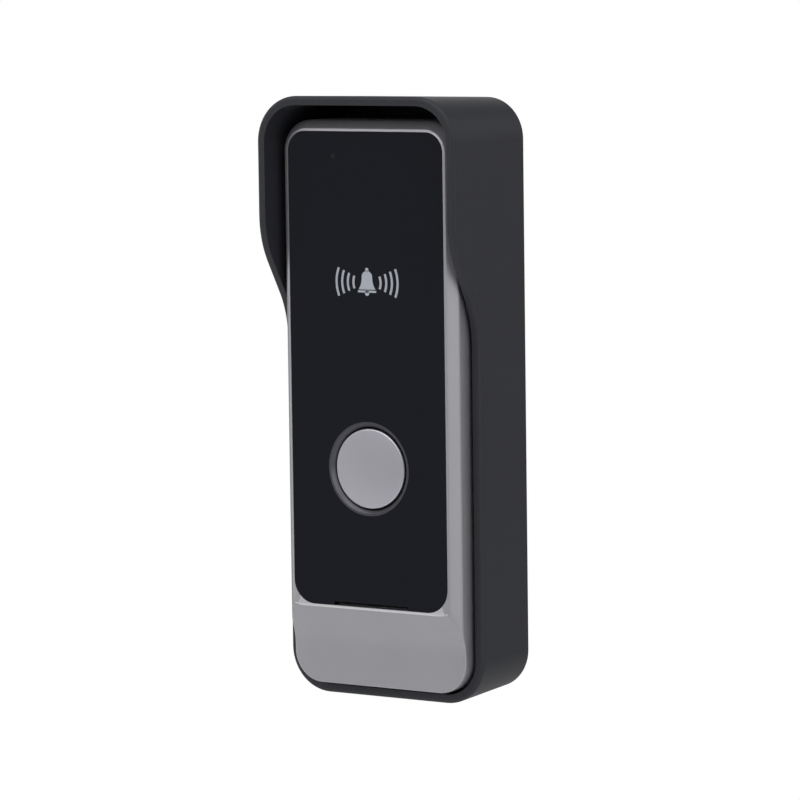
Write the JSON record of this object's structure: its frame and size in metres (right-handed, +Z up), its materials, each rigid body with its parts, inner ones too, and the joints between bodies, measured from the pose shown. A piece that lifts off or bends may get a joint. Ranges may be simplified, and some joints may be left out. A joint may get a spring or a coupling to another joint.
{
  "type": "video doorbell",
  "caption": "Wall-mounted video door station: die-cast body with a tinted face, round call button and camera, in a hooded rain cover.",
  "frame": {"origin": "on the wall plane, at the back of the rain cover, midway between the two wall screws", "axes": "+Z up the wall, +Y into the wall, so the face looks along -Y, and +X to the right as seen from the front"},
  "size_m": [0.0506, 0.0303, 0.1323],
  "materials": {
    "cover_black": "fine moulded texture, satin black",
    "foam": "closed-cell foam, dull black",
    "rubber": "dull black rubber",
    "zinc_steel": "zinc-plated sheet steel",
    "black_screw": "black oxide steel",
    "die_cast": "satin silver die-cast metal",
    "tinted_acrylic": "polished tinted acrylic, near black",
    "silicone": "translucent grey silicone",
    "housing_black": "black moulded ABS",
    "zinc_screw": "zinc-plated",
    "button_metal": "satin spun metal",
    "ring_trim": "dark satin metal",
    "component_black": "moulded epoxy",
    "plunger_white": "white nylon",
    "circuit_board": "green solder mask",
    "can_aluminium": "drawn aluminium can",
    "ferrite": "ferrite grey",
    "terminal_green": "green polyamide",
    "brass": "nickel-free brass",
    "control_blue": "blue moulded body",
    "sensor_glass": "glass over silicon",
    "barrel_black": "black anodised",
    "lens_glass": "coated glass",
    "lamp_dark": "dark infrared epoxy",
    "sensor_clear": "clear coated",
    "magnet": "nickel-plated",
    "cone_film": "pressed polymer film"
  },
  "bodies": {
    "station": {"rain_cover": "cover_black", "wall_gasket": "foam", "cable_grommet": "rubber", "mounting_bracket": "zinc_steel", "security_screw": "black_screw", "front_bezel": "die_cast", "front_panel": "tinted_acrylic", "panel_adhesive": "foam", "housing_seal": "silicone", "rear_housing": "housing_black", "case_screws": "zinc_screw", "button_ring": "ring_trim", "button_diaphragm": "silicone", "button_switch": "component_black", "main_board": "circuit_board", "board_screws": "zinc_screw", "board_chips": "component_black", "capacitors": "can_aluminium", "power_coil": "ferrite", "terminal_block": "terminal_green", "terminal_screws": "brass", "volume_control": "control_blue", "camera_board": "circuit_board", "board_spacers": "brass", "board_connector": "component_black", "image_sensor": "sensor_glass", "lens_holder": "component_black", "lens_barrel": "barrel_black", "front_lens": "lens_glass", "infrared_lamps": "lamp_dark", "light_sensor": "sensor_clear", "microphone": "can_aluminium", "microphone_boot": "rubber", "speaker_frame": "housing_black", "speaker_magnet": "magnet", "speaker_cone": "cone_film", "speaker_gasket": "foam"},
    "call_button": {"call_button": "button_metal", "button_clip": "zinc_steel"},
    "switch_plunger": {"switch_plunger": "plunger_white"},
    "volume_rotor": {"volume_rotor": "plunger_white"}
  },
  "joints": [
    {"name": "call_button_press", "type": "slide", "parent": "station", "child": "call_button", "axis": [0, 1, 0], "range_m": [0, 0.0008], "stiffness_N_per_m": 1500, "springref_m": -0.0005, "deforming": ["button_diaphragm"]},
    {"name": "switch_plunger_slide", "type": "slide", "parent": "station", "child": "switch_plunger", "axis": [0, 1, 0], "range_m": [0, 0.0008]},
    {"name": "volume_turn", "type": "hinge", "parent": "station", "child": "volume_rotor", "pos_m": [0.009, -0.0096, 0.008], "axis": [0, 1, 0], "range_deg": [-130, 130]}
  ],
  "couplings": [
    {"joint": "switch_plunger_slide", "follows": "call_button_press", "ratio": 1}
  ]
}
